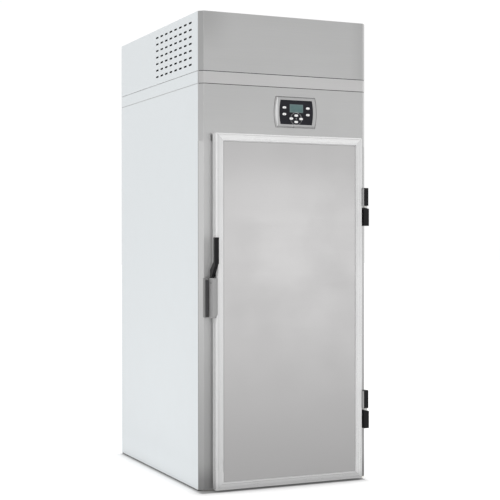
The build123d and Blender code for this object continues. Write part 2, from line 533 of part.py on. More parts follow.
for dx, dz in keys.values():
    overlay -= pad_y(dx, dz, KEY_L + 0.5, KEY_W + 0.5, Y_OV - 1, Y_OVR + 1)
lx0, lx1 = CTRL_X + LCD[0] - LCD[2] / 2, CTRL_X + LCD[0] + LCD[2] / 2
lz0, lz1 = CTRL_Z + LCD[1] - LCD[3] / 2, CTRL_Z + LCD[1] + LCD[3] / 2
overlay -= box(lx0, lx1, Y_OV - 1, Y_OVR + 1, lz0, lz1)
put("control_overlay", overlay)
put("lcd_window", box(lx0, lx1, Y_OV + 0.3, Y_OVR, lz0, lz1))
for name, (dx, dz) in keys.items():
    k = pad_y(dx, dz, KEY_L, KEY_W, Y_OV - 1.4, Y_OVR + 0.2)
    k = fillet(k.faces().sort_by(Axis.Y)[0].edges(), 0.7)
    put(name, k + pad_y(dx, dz, KEY_L + 2, KEY_W + 2, Y_OVR + 0.1, Y_OVR + 1.1))

board = box(CTRL_X - 80, CTRL_X + 80, YF - 3.4, YF - 1.8, CTRL_Z - 54, CTRL_Z + 54)
for sx in (-74, 74):
    for sz in (-48, 48):
        board += cyl_y(CTRL_X + sx, CTRL_Z + sz, 3, YF - 1.8, YF)
for dx, dz in keys.values():
    board += cyl_y(CTRL_X + dx, CTRL_Z + dz, 3, YF - 3.9, YF - 3.4)
put("control_board", board)
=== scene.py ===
import json
import math

import bmesh
import bpy
from mathutils import Matrix, Quaternion, Vector


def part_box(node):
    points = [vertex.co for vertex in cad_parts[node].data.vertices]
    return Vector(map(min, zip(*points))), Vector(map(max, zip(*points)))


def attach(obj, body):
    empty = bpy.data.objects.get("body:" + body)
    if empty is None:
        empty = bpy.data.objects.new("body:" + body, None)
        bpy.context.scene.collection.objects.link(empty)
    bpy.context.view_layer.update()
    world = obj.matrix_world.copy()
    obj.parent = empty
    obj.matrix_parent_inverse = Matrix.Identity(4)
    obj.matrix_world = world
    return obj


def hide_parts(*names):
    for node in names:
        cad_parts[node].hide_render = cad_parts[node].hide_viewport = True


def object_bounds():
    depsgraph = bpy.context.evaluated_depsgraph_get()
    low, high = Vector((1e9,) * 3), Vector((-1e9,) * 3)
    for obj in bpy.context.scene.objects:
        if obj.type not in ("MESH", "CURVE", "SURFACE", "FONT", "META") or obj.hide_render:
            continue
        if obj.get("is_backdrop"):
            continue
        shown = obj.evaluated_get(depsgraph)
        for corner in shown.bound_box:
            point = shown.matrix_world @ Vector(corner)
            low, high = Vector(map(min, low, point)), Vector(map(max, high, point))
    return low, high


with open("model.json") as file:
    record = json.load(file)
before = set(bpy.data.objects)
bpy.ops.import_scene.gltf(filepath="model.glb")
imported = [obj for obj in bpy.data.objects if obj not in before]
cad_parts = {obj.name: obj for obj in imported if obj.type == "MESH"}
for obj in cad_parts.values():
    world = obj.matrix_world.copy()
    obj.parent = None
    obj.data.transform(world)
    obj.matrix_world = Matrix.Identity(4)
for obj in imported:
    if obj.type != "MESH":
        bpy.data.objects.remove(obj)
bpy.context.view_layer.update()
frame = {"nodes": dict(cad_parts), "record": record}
NODES = frame["nodes"]
scene = bpy.context.scene
rad = math.radians

# Metres. X right, Y back (front plane at -0.620), Z up, floor at 0.
YF, YR = -0.620, 0.620
Y_DR, Y_DF = -0.635, -0.685
DOOR_L, DOOR_R, DOOR_B, DOOR_T = -0.411, 0.413, 0.011, 1.788
PROF = 0.040
CTRL_X, CTRL_Z = 0.056, 1.912
Y_OV = -0.6305


# ------------------------------------------------------------------ camera
AZIMUTH, PITCH, ROLL = 0.420985, -0.005679, -0.000442
forward = Vector((math.sin(AZIMUTH) * math.cos(PITCH), math.cos(AZIMUTH) * math.cos(PITCH), math.sin(PITCH)))
camera_data = bpy.data.cameras.new("camera")
camera_data.sensor_width = 36.0
camera_data.lens = 87.9
camera_data.clip_end = 200.0
camera = bpy.data.objects.new("camera", camera_data)
scene.collection.objects.link(camera)
camera.location = (-2.73081, -6.27203, 1.24048)
camera.rotation_mode = "QUATERNION"
camera.rotation_quaternion = forward.to_track_quat("-Z", "Y") @ Quaternion((0, 0, 1), ROLL)
scene.camera = camera
scene.view_settings.view_transform = "Standard"


# ------------------------------------------------------------------ shader helper
class Graph:
    """A Principled material with its pattern nodes."""

    def __init__(self, name, **values):
        self.mat = bpy.data.materials.new(name)
        self.mat.use_nodes = True
        self.tree = self.mat.node_tree
        self.tree.nodes.clear()
        self.out = self.add("ShaderNodeOutputMaterial")
        self.bsdf = self.add("ShaderNodeBsdfPrincipled")
        self.link(self.bsdf.outputs[0], self.out.inputs[0])
        self.coord = None
        for name, value in values.items():
            self.set(name.replace("_", " "), value)

    def add(self, kind, **props):
        n = self.tree.nodes.new(kind)
        for k, v in props.items():
            setattr(n, k, v)
        return n

    def link(self, a, b):
        self.tree.links.new(a, b)

    def set(self, socket, value):
        if isinstance(value, (tuple, list)) and len(value) == 3:
            value = (*value, 1.0)
        self.bsdf.inputs[socket].default_value = value

    def feed(self, socket, source):
        self.link(source, self.bsdf.inputs[socket])

    def position(self):
        if self.coord is None:
            self.coord = self.add("ShaderNodeTexCoord")
        return self.coord.outputs["Object"]

    def place(self, scale=(1, 1, 1), shift=(0, 0, 0), rot=(0, 0, 0), source=None):
        m = self.add("ShaderNodeMapping")
        m.inputs["Scale"].default_value = scale
        m.inputs["Location"].default_value = shift
        m.inputs["Rotation"].default_value = rot
        self.link(source or self.position(), m.inputs["Vector"])
        return m.outputs[0]

    def noise(self, vector, scale=1.0, detail=2.0, rough=0.5, distort=0.0):
        n = self.add("ShaderNodeTexNoise")
        n.inputs["Scale"].default_value = scale
        n.inputs["Detail"].default_value = detail
        n.inputs["Roughness"].default_value = rough
        n.inputs["Distortion"].default_value = distort
        self.link(vector, n.inputs["Vector"])
        return n.outputs[0]

    def voronoi(self, vector, scale=1.0, feature="F1", randomness=1.0):
        n = self.add("ShaderNodeTexVoronoi", feature=feature)
        n.inputs["Scale"].default_value = scale
        n.inputs["Randomness"].default_value = randomness
        self.link(vector, n.inputs["Vector"])
        return n.outputs["Distance"]

    def math(self, op, a, b=None, c=None, clamp=False):
        n = self.add("ShaderNodeMath", operation=op, use_clamp=clamp)
        for i, x in enumerate((a, b, c)):
            if x is None:
                continue
            if isinstance(x, (int, float)):
                n.inputs[i].default_value = x
            else:
                self.link(x, n.inputs[i])
        return n.outputs[0]

    def remap(self, x, a, b, c, d, smooth=False):
        n = self.add("ShaderNodeMapRange", interpolation_type="SMOOTHSTEP" if smooth else "LINEAR")
        self.link(x, n.inputs["Value"])
        for name, v in zip(("From Min", "From Max", "To Min", "To Max"), (a, b, c, d)):
            n.inputs[name].default_value = v
        return n.outputs[0]

    def mix(self, fac, a, b, blend="MIX"):
        n = self.add("ShaderNodeMix", data_type="RGBA", blend_type=blend)
        for i, x in ((0, fac), (6, a), (7, b)):
            if isinstance(x, (int, float)):
                n.inputs[i].default_value = x
            elif isinstance(x, (tuple, list)):
                n.inputs[i].default_value = (*x, 1.0)
            else:
                self.link(x, n.inputs[i])
        return n.outputs[2]

    def split(self, source=None):
        n = self.add("ShaderNodeSeparateXYZ")
        self.link(source or self.position(), n.inputs[0])
        return n.outputs[0], n.outputs[1], n.outputs[2]

    def bump(self, height, strength, distance, under=None):
        n = self.add("ShaderNodeBump")
        n.inputs["Strength"].default_value = strength
        n.inputs["Distance"].default_value = distance
        self.link(height, n.inputs["Height"])
        if under is not None:
            self.link(under, n.inputs["Normal"])
        return n.outputs[0]


def grey(v, cool=0.0):
    return (v * (1 - cool), v, v * (1 + cool))


def scaled(c, k):
    return tuple(min(1.0, x * k) for x in c)


# ------------------------------------------------------------------ materials
def brushed(name, grain, base=(0.58, 0.58, 0.575), rough=0.33, contrast=0.03, metallic=1.0, smudge=0.03, hairline=False, low_shade=1.0, painted_fold_shading=1.0, stretch=None, highlight_centre=None, service_shade=None):
    """Ground stainless sheet: fine scratches along one axis, broad bands, hand marks in the gloss; optionally painted
    shade on the service panel, painted light or shade on the chamfer folds, painted shade towards the floor, and on the
    door a painted highlight with painted shade at the top and a painted shadow line under the profile.
    """
    g = Graph(name, Metallic=metallic)
    along, across = 7.0, 1500.0
    s = [across] * 3
    s["xyz".index(grain)] = along
    fine = g.noise(g.place(tuple(s)), 1.0, 3.0, 0.6)
    s = [220.0] * 3
    s["xyz".index(grain)] = 1.8
    band = g.noise(g.place(tuple(s), (3, 1, 7)), 1.0, 2.0, 0.55)
    s = [14.0] * 3
    s["xyz".index(grain)] = 0.7
    wide = g.noise(g.place(tuple(s), (1, 5, 2)), 1.0, 2.0, 0.5)
    cloud = g.noise(g.place((1, 1, 1), (9, 4, 1)), 3.2, 3.0, 0.55)
    total = g.math("ADD", g.math("MULTIPLY", fine, 0.62), g.math("MULTIPLY", band, 0.24))
    total = g.math("ADD", total, g.math("MULTIPLY", wide, 0.14))
    low, high = scaled(base, 1 - contrast), scaled(base, 1 + contrast)
    colour = g.mix(g.remap(total, 0.36, 0.64, 0, 1), low, high)
    if service_shade:
        x, y, z = g.split()
        # Painted shade: the service panel is darker towards its top-left corner, its right end and its top edge.
        service_shade_mask = g.math("MULTIPLY", g.remap(x, -0.46, -0.27, 1, 0, True), g.remap(z, 2.16, 2.38, 0, 1, True))
        service_shade_mask = g.math("ADD", service_shade_mask, g.remap(x, 0.36, 0.46, 0, 0.55, True))
        colour = g.mix(g.math("ADD", service_shade_mask, g.remap(z, 2.30, 2.40, 0, 0.08)), colour, (service_shade, service_shade, service_shade), "MULTIPLY")
    if hairline:
        x, y, z = g.split()
        colour = g.mix(g.remap(g.math("ABSOLUTE", x), 0.4732, 0.4738, 0, 0.75), colour, (0.10, 0.10, 0.10))
        if low_shade < 1.0:
            # Painted shade: darker towards the floor, mottled in the lowest 16 cm and fading out by 1.2 m.
            low_down = g.math("MULTIPLY", g.remap(z, 0.004, 0.16, 1, 0, True), g.remap(cloud, 0.3, 0.7, 0.8, 1.0))
            low_down = g.math("ADD", g.math("MULTIPLY", low_down, 0.55), g.remap(z, 0.0, 1.20, 0.62, 0, True))
            colour = g.mix(low_down, colour, scaled(base, low_shade))
        # Painted light and shade: the chamfer folds beyond |x| = 0.4525 are made lighter or darker by this factor.
        if painted_fold_shading != 1.0:
            colour = g.mix(g.math("GREATER_THAN", g.math("ABSOLUTE", x), 0.4525), colour, scaled(base, painted_fold_shading))
    if highlight_centre:
        x, y, z = g.split()
        # Painted highlight: lighter in a soft oval round the given centre, darker away from it.
        du = g.math("MULTIPLY", g.math("SUBTRACT", x, highlight_centre[0]), 2.6)
        dv = g.math("MULTIPLY", g.math("SUBTRACT", z, highlight_centre[1]), 1.7)
        d = g.math("SQRT", g.math("ADD", g.math("MULTIPLY", du, du), g.math("MULTIPLY", dv, dv)))
        d = g.math("ADD", d, g.remap(cloud, 0.3, 0.7, -0.12, 0.12))
        colour = g.mix(g.math("MULTIPLY", g.remap(d, 0.10, 1.15, 0, 1, True), 0.75), colour, scaled(base, 0.93))
        # Painted shade: darker towards the top of the door.
        colour = g.mix(g.remap(z, 1.50, 1.70, 0, 1, True), colour, scaled(base, 0.905))
        # Painted shadow: a thin dark line along the panel's edges under the profile, stronger along the top.
        inner_x = g.math("SUBTRACT", (DOOR_R - DOOR_L) / 2 - PROF, g.math("ABSOLUTE", g.math("SUBTRACT", x, (DOOR_L + DOOR_R) / 2)))
        inner_z = g.math("SUBTRACT", (DOOR_T - DOOR_B) / 2 - PROF, g.math("ABSOLUTE", g.math("SUBTRACT", z, (DOOR_T + DOOR_B) / 2)))
        profile_shadow = g.remap(g.math("MINIMUM", inner_x, inner_z), 0.0015, 0.0035, 1, 0, True)
        colour = g.mix(g.math("MULTIPLY", profile_shadow, g.math("ADD", 0.30, g.math("MULTIPLY", g.math("GREATER_THAN", z, 1.742), 0.30))), colour, (0.16, 0.16, 0.16))
    g.feed("Base Color", colour)
    r = g.math("ADD", g.remap(total, 0.35, 0.65, rough - 0.025, rough + 0.03), g.remap(cloud, 0.4, 0.7, -smudge / 2, smudge))
    g.feed("Roughness", r)
    g.feed("Normal", g.bump(g.math("ADD", g.math("MULTIPLY", fine, 0.7), g.math("MULTIPLY", band, 0.3)), 0.16, 0.00025))
    g.set("Anisotropic", 0.45)
    g.set("Anisotropic Rotation", 0.0 if (stretch or grain) == "z" else 0.25)
    return g.mat


def coated_sheet(name, base=(0.665, 0.698, 0.715), rough=0.36, dust_and_low_light=True, shaded_inside=None):
    """Plastic-coated white steel: faint orange peel, slow waviness, a faint dusting low down, a painted highlight along
    the front fold and painted light over the lowest 16 cm.
    Given a limit on |x|, what lies nearer the middle is painted near black as shade behind the vents."""
    g = Graph(name)
    peel = g.noise(g.place((1, 1, 1)), 640.0, 2.0, 0.5)
    wave = g.noise(g.place((1, 1, 1), (2, 7, 3)), 2.1, 2.0, 0.5)
    mottle = g.noise(g.place((1, 1, 1), (5, 1, 4)), 9.0, 4.0, 0.6)
    colour = g.mix(g.remap(mottle, 0.35, 0.65, 0, 1), scaled(base, 0.988), scaled(base, 1.008))
    x, y, z = g.split()
    # Painted highlight: a lighter strip along the front fold of the side sheets.
    painted_fold_shading = g.math("MULTIPLY", g.math("LESS_THAN", y, -0.5935), g.math("GREATER_THAN", g.math("ABSOLUTE", x), 0.4745))
    colour = g.mix(g.math("MULTIPLY", painted_fold_shading, 0.6), colour, scaled(base, 1.09))
    if dust_and_low_light:
        grime = g.math("MULTIPLY", g.remap(z, 0.006, 0.10, 1, 0, True), g.remap(g.noise(g.place((3, 3, 9)), 1.0, 5.0, 0.65), 0.45, 0.75, 0, 0.25))
        # Painted light: the lowest 16 cm of the sheet are lighter; the grime mixed in after is dust.
        colour = g.mix(g.math("MULTIPLY", g.remap(z, 0.006, 0.16, 1, 0, True), 0.45), colour, scaled(base, 1.18))
        colour = g.mix(g.math("MULTIPLY", grime, 0.6), colour, (0.60, 0.60, 0.585))
    if shaded_inside:
        # Painted shade: the inside faces are near black, standing in for the shade behind the vents.
        colour = g.mix(g.math("LESS_THAN", g.math("ABSOLUTE", x), shaded_inside), colour, (0.012, 0.012, 0.012))
    g.feed("Base Color", colour)
    g.feed("Roughness", g.remap(mottle, 0.3, 0.7, rough - 0.04, rough + 0.06))
    g.feed("Normal", g.bump(peel, 0.10, 0.0003, g.bump(wave, 0.16, 0.004)))
    g.set("Specular IOR Level", 0.45)
    return g.mat


def moulded(name, base, rough=0.45, grain=900.0, depth=0.0002, strength=0.25, spec=0.5, vary=0.10, worn=None):
    """Moulded plastic with a fine spark-eroded texture."""
    g = Graph(name)
    tex = g.noise(g.place(), grain, 3.0, 0.6)
    patch = g.noise(g.place((1, 1, 1), (4, 2, 8)), 38.0, 4.0, 0.6)
    colour = g.mix(g.remap(patch, 0.35, 0.65, 0, 1), scaled(base, 1 - vary), scaled(base, 1 + vary))
    if worn is not None:
        wear_and_highlight = g.remap(g.noise(g.place((1, 1, 1), (7, 7, 1)), 95.0, 5.0, 0.7), 0.60, 0.74, 0, 0.5)
        colour = g.mix(wear_and_highlight, colour, worn)
    g.feed("Base Color", colour)
    g.feed("Roughness", g.remap(tex, 0.3, 0.7, rough - 0.06, rough + 0.08))
    g.feed("Normal", g.bump(tex, strength, depth))
    g.set("Specular IOR Level", spec)
    return g.mat


def metal(name, base, rough=0.3, grain=500.0, vary=0.06, strength=0.12, depth=0.0002, metallic=1.0, stretch=None):
    """Cast, plated or drawn metal."""
    g = Graph(name, Metallic=metallic)
    vector = g.place(stretch or (1, 1, 1))
    tex = g.noise(vector, grain, 3.0, 0.55)
    patch = g.noise(g.place((1, 1, 1), (3, 8, 2)), 22.0, 4.0, 0.6)
    g.feed("Base Color", g.mix(g.remap(patch, 0.35, 0.65, 0, 1), scaled(base, 1 - vary), scaled(base, 1 + vary)))
    g.feed("Roughness", g.math("ADD", g.remap(tex, 0.3, 0.7, rough - 0.05, rough + 0.05), g.remap(patch, 0.4, 0.7, -0.02, 0.05)))
    g.feed("Normal", g.bump(tex, strength, depth))
    return g.mat


def silver_paint(name, base, rough=0.30, metallic=0.6):
    """Silver lacquer with fine flakes and a painted highlight on the left and lower flanks of the bezel."""
    g = Graph(name, Metallic=metallic)
    x, y, z = g.split()
    flake = g.voronoi(g.place(), 1600.0)
    patch = g.noise(g.place((1, 1, 1), (3, 8, 2)), 22.0, 4.0, 0.6)
    colour = g.mix(g.remap(flake, 0.1, 0.7, 0, 1), scaled(base, 0.97), scaled(base, 1.03))
    # Painted highlight: the bezel's outer left and lower flanks are lighter.
    wear_and_highlight = g.math("ADD", g.remap(x, CTRL_X - 0.1065, CTRL_X - 0.1035, 1, 0, True), g.remap(z, CTRL_Z - 0.0745, CTRL_Z - 0.0725, 0.75, 0, True))
    colour = g.mix(g.math("MINIMUM", wear_and_highlight, 1.0), colour, scaled(base, 1.5))
    g.feed("Base Color", colour)
    g.feed("Roughness", g.remap(patch, 0.3, 0.7, rough - 0.03, rough + 0.05))
    g.feed("Normal", g.bump(flake, 0.08, 0.00008))
    return g.mat


def rubber(name, base, rough=0.62):
    g = Graph(name)
    tex = g.noise(g.place(), 1300.0, 3.0, 0.6)
    bloom = g.noise(g.place((1, 1, 1), (1, 2, 3)), 24.0, 5.0, 0.65)
    g.feed("Base Color", g.mix(g.remap(bloom, 0.45, 0.75, 0, 1), base, tuple(x * 1.25 + 0.012 for x in base)))
    g.feed("Roughness", g.remap(bloom, 0.3, 0.7, rough - 0.05, rough + 0.1))
    g.feed("Normal", g.bump(tex, 0.3, 0.00015))
    g.set("Specular IOR Level", 0.35)
    return g.mat


def panel_seal():
    """Seal in the panel joints, with painted shade and light: near black in the folded front joints, lighter grey
    silicone round the other sides.
    """
    g = Graph("panel_seal", Roughness=0.6)
    x, y, z = g.split()
    tex = g.noise(g.place(), 500.0, 3.0, 0.6)
    # Painted shade and light: the seal in the front joints is near black, the rest lighter grey.
    front = g.math("LESS_THAN", y, -0.599)
    g.feed("Base Color", g.mix(front, g.mix(tex, (0.44, 0.445, 0.45), (0.52, 0.525, 0.53)), (0.022, 0.022, 0.022)))
    g.feed("Normal", g.bump(tex, 0.3, 0.0003))
    g.set("Specular IOR Level", 0.3)
    return g.mat


def door_profile():
    """Anodised edge profile: drawn lines along each bar, hairline mitres in the corners, painted shade in a channel
    band, along the rear groove and on the bottom bar, and painted highlights on the top bar, the lower right bar, the
    outer rims and the bottom bar's inner lip.
    """
    g = Graph("door_profile", Metallic=0.6)
    x, y, z = g.split()
    dx = g.math("SUBTRACT", (DOOR_R - DOOR_L) / 2, g.math("ABSOLUTE", g.math("SUBTRACT", x, (DOOR_L + DOOR_R) / 2)))
    dz = g.math("SUBTRACT", (DOOR_T - DOOR_B) / 2, g.math("ABSOLUTE", g.math("SUBTRACT", z, (DOOR_T + DOOR_B) / 2)))
    side = g.math("LESS_THAN", dx, dz)
    upright = g.noise(g.place((1200, 1200, 5)), 1.0, 3.0, 0.6)
    level = g.noise(g.place((5, 1200, 1200)), 1.0, 3.0, 0.6)
    lines = g.math("ADD", g.math("MULTIPLY", upright, side), g.math("MULTIPLY", level, g.math("SUBTRACT", 1.0, side)))
    cloud = g.noise(g.place((1, 1, 1), (6, 2, 4)), 4.0, 3.0, 0.5)
    colour = g.mix(g.remap(lines, 0.35, 0.65, 0, 1), (0.695, 0.695, 0.695), (0.725, 0.725, 0.725))
    inward = g.math("MINIMUM", dx, dz)
    # Painted shade: a darker band 8 to 18 mm in from each bar's outer edge.
    channel = g.math("MULTIPLY", g.remap(inward, 0.008, 0.011, 0, 1, True), g.remap(inward, 0.014, 0.018, 1, 0, True))
    # Painted shade: a dark line along the groove at y = -0.655 on the outer sides of the bars.
    rear = g.math("MULTIPLY", g.math("LESS_THAN", g.math("ABSOLUTE", g.math("ADD", y, 0.655)), 0.0016), g.math("LESS_THAN", inward, 0.003))
    colour = g.mix(g.math("MULTIPLY", channel, 0.10), colour, (0.30, 0.30, 0.30))
    colour = g.mix(g.math("MULTIPLY", rear, 0.75), colour, (0.10, 0.10, 0.10))
    # Painted highlight: the top bar and the lower half of the right bar are lighter.
    upper = g.math("MULTIPLY", g.math("SUBTRACT", 1.0, side), g.math("GREATER_THAN", z, 1.0))
    hinged = g.math("MULTIPLY", g.math("MULTIPLY", side, g.math("GREATER_THAN", x, 0.0)), g.remap(z, 0.40, 0.95, 1, 0, True))
    colour = g.mix(g.math("MULTIPLY", g.math("ADD", upper, hinged), 0.46), colour, (0.95, 0.95, 0.95))
    # Painted highlight: a lighter rim along the outer edge of every bar.
    colour = g.mix(g.remap(inward, 0.0015, 0.0065, 0.5, 0, True), colour, (0.97, 0.97, 0.97))
    # Painted shade: the bottom bar is darker.
    low_bar_shade = g.math("MULTIPLY", g.remap(z, 0.012, 0.060, 1, 0, True), 0.46)
    colour = g.mix(low_bar_shade, colour, (0.36, 0.36, 0.36))
    # Painted highlight: the bottom bar's inner lip is lighter.
    lip = g.math("MULTIPLY", g.math("GREATER_THAN", inward, PROF - 0.0065), g.math("LESS_THAN", z, 0.10))
    colour = g.mix(g.math("MULTIPLY", lip, 0.40), colour, (0.95, 0.95, 0.95))
    mitre = g.remap(g.math("ABSOLUTE", g.math("SUBTRACT", dx, dz)), 0.0002, 0.0006, 1, 0, True)
    colour = g.mix(g.math("MULTIPLY", mitre, 0.45), colour, (0.12, 0.12, 0.12))
    g.feed("Base Color", colour)
    g.feed("Roughness", g.math("ADD", g.remap(lines, 0.35, 0.65, 0.27, 0.36), g.remap(cloud, 0.4, 0.7, -0.02, 0.04)))
    g.feed("Normal", g.bump(g.math("SUBTRACT", g.math("MULTIPLY", lines, 0.3), mitre), 0.3, 0.0004))
    g.set("Anisotropic", 0.3)
    return g.mat


def foam():
    g = Graph("foam", Roughness=0.9)
    cells = g.voronoi(g.place(), 900.0)
    patch = g.noise(g.place(), 30.0, 4.0, 0.6)
    g.feed("Base Color", g.mix(g.remap(patch, 0.3, 0.7, 0, 1), (0.78, 0.70, 0.48), (0.86, 0.80, 0.60)))
    g.feed("Normal", g.bump(cells, 0.5, 0.0006))
    return g.mat


def lcd():
    """Unlit teal display with its dot matrix and a lighter rim."""
    g = Graph("lcd", Roughness=0.22)
    g.set("Specular IOR Level", 0.3)
    x, y, z = g.split()
    u = g.math("SUBTRACT", x, CTRL_X + 0.0015)
    v = g.math("SUBTRACT", z, CTRL_Z + 0.0205)
    rim = g.math("MAXIMUM", g.remap(g.math("ABSOLUTE", u), 0.030, 0.038, 0, 1), g.remap(g.math("ABSOLUTE", v), 0.0135, 0.021, 0, 1))
    cx = g.math("FRACT", g.math("MULTIPLY", x, 1400.0))
    cz = g.math("FRACT", g.math("MULTIPLY", z, 1400.0))
    dot = g.math("MULTIPLY", g.math("GREATER_THAN", cx, 0.16), g.math("GREATER_THAN", cz, 0.16))
    cloud = g.noise(g.place(), 60.0, 3.0, 0.5)
    body = g.mix(g.remap(cloud, 0.3, 0.7, 0, 1), (0.085, 0.150, 0.150), (0.105, 0.175, 0.172))
    body = g.mix(g.math("MULTIPLY", rim, 0.7), body, (0.155, 0.20, 0.205))
    body = g.mix(g.math("MULTIPLY", dot, 0.12), body, (0.05, 0.12, 0.12))
    g.feed("Base Color", body)
    g.set("Coat Weight", 0.25)
    g.set("Coat Roughness", 0.06)
    return g.mat


def tread_plate():
    """Stainless floor of the chamber with rows of small raised studs and trolley marks."""
    g = Graph("tread_plate", Metallic=1.0)
    x, y, z = g.split()
    pitch = 1 / 0.025
    u = g.math("ADD", g.math("MULTIPLY", x, pitch), 40.0)
    v = g.math("ADD", g.math("MULTIPLY", y, pitch), 40.0)
    odd = g.math("MULTIPLY", g.math("FRACT", g.math("MULTIPLY", g.math("FLOOR", v), 0.5)), 1.0)
    du = g.math("SUBTRACT", g.math("FRACT", g.math("ADD", u, odd)), 0.5)
    dv = g.math("SUBTRACT", g.math("FRACT", v), 0.5)
    d = g.math("SQRT", g.math("ADD", g.math("MULTIPLY", du, du), g.math("MULTIPLY", dv, dv)))
    stud = g.remap(d, 0.16, 0.26, 1, 0, True)
    scuff = g.noise(g.place((90, 3.0, 90)), 1.0, 3.0, 0.6)
    wheels = g.math("MULTIPLY", g.remap(g.math("ABSOLUTE", g.math("SUBTRACT", g.math("ABSOLUTE", x), 0.25)), 0.02, 0.05, 1, 0, True), 0.5)
    g.feed("Base Color", g.mix(g.math("MULTIPLY", wheels, g.remap(scuff, 0.4, 0.6, 0, 1)), (0.56, 0.56, 0.56), (0.42, 0.42, 0.41)))
    g.feed("Roughness", g.math("ADD", g.remap(scuff, 0.35, 0.65, 0.32, 0.44), g.math("MULTIPLY", stud, -0.08)))
    g.feed("Normal", g.bump(g.math("ADD", stud, g.math("MULTIPLY", scuff, 0.04)), 0.6, 0.0012))
    return g.mat


def fins(name, low, high, metallic=1.0):
    """Thin coil fins, bare or with a black protective coat."""
    g = Graph(name, Metallic=metallic)
    patch = g.noise(g.place(), 26.0, 4.0, 0.6)
    g.feed("Base Color", g.mix(g.remap(patch, 0.35, 0.65, 0, 1), low, high))
    g.feed("Roughness", g.remap(patch, 0.3, 0.7, 0.32, 0.5))
    return g.mat


def board():
    g = Graph("board", Roughness=0.35)
    x, y, z = g.split()
    lines = g.math("GREATER_THAN", g.math("FRACT", g.math("MULTIPLY", g.math("ADD", x, z), 180.0)), 0.8)
    patch = g.noise(g.place(), 300.0, 2.0, 0.5)
    body = g.mix(g.remap(patch, 0.4, 0.6, 0, 1), (0.025, 0.16, 0.06), (0.035, 0.21, 0.08))
    g.feed("Base Color", g.mix(g.math("MULTIPLY", lines, 0.5), body, (0.08, 0.32, 0.14)))
    g.feed("Roughness", g.remap(patch, 0.3, 0.7, 0.3, 0.45))
    return g.mat


steel_x = brushed("stainless_level_grain", "x", (0.585, 0.585, 0.583), hairline=True, painted_fold_shading=1.05)
steel_service = brushed("stainless_service", "x", (0.585, 0.585, 0.583), hairline=True, painted_fold_shading=0.88, service_shade=0.84)
steel_band = brushed("stainless_band", "x", (0.642, 0.637, 0.635), hairline=True)
steel_z = brushed("stainless_upright_grain", "z", (0.580, 0.580, 0.578), 0.44, metallic=0.45, hairline=True, low_shade=0.44)
steel_door = brushed("stainless_door", "x", (0.606, 0.599, 0.599), 0.32, 0.02, stretch="z", highlight_centre=(0.02, 1.40))
steel_liner_z = brushed("stainless_liner_upright", "z", (0.56, 0.56, 0.56), 0.30)
steel_liner_x = brushed("stainless_liner_level", "x", (0.56, 0.56, 0.56), 0.30)
white = coated_sheet("white_sheet")
white_vented = coated_sheet("white_sheet_vented", shaded_inside=0.47485)
white_top = coated_sheet("white_sheet_top", (0.78, 0.80, 0.81), dust_and_low_light=False)
profile = door_profile()
galvanised = metal("galvanised", (0.50, 0.52, 0.53), 0.42, 60.0, 0.14, 0.05)
black_plastic = moulded("black_plastic", (0.0085, 0.0085, 0.0095), 0.46, spec=0.22, worn=(0.018, 0.018, 0.018))
dark_plastic = moulded("dark_plastic", (0.040, 0.040, 0.042), 0.5)
grey_plastic = moulded("grey_plastic", (0.42, 0.43, 0.44), 0.45, vary=0.04)
nylon = moulded("nylon", (0.60, 0.60, 0.58), 0.42, vary=0.03)
dark_rubber = rubber("dark_rubber", (0.030, 0.030, 0.031))
grey_rubber = rubber("grey_rubber", (0.36, 0.362, 0.366))
bezel_shadow_rubber = rubber("bezel_shadow_rubber", (0.085, 0.085, 0.087))
filter_mat = moulded("filter_mat", (0.014, 0.014, 0.015), 0.9, 2400.0, 0.0010, 1.0, 0.15, 0.3)
pad_rubber = rubber("pad_rubber", (0.056, 0.056, 0.058))
hinge_metal = metal("hinge_metal", (0.40, 0.40, 0.40), 0.42, 700.0, metallic=0.25)
latch_grey = metal("latch_grey", (0.35, 0.35, 0.35), 0.45, 800.0, 0.03, metallic=0.30)
keeper_grey = metal("keeper_grey", (0.245, 0.245, 0.245), 0.48, 700.0, metallic=0.2)
steel_pin = metal("steel_pin", (0.60, 0.60, 0.60), 0.18, 900.0, 0.03)
black_paint = metal("black_paint", (0.022, 0.022, 0.022), 0.35, 420.0, 0.2, 0.3, metallic=0.0)
motor_grey = metal("motor_grey", (0.10, 0.105, 0.11), 0.4, 420.0, 0.1, 0.3, metallic=0.2)
copper = metal("copper", (0.70, 0.33, 0.20), 0.30, 300.0, 0.16)
bezel_silver = silver_paint("bezel_silver", (0.46, 0.46, 0.46))
overlay_black = moulded("overlay_black", (0.012, 0.012, 0.017), 0.36, 1100.0, 0.0001, 0.15, spec=0.22, vary=0.12)
key_white = moulded("key_white", (0.86, 0.86, 0.86), 0.42, vary=0.01)
print_grey = moulded("print_grey", (0.30, 0.30, 0.31), 0.5, vary=0.03)
print_light = moulded("print_light", (0.72, 0.72, 0.72), 0.5, vary=0.02)
print_dark = moulded("print_dark", (0.10, 0.10, 0.11), 0.5, vary=0.03)
seal_mat = panel_seal()
foam_mat = foam()
lcd_mat = lcd()
tread = tread_plate()
fin_mat = fins("fins", (0.55, 0.56, 0.57), (0.68, 0.69, 0.70))
fin_black = fins("fins_black", (0.010, 0.010, 0.011), (0.022, 0.022, 0.024), 0.2)
board_mat = board()

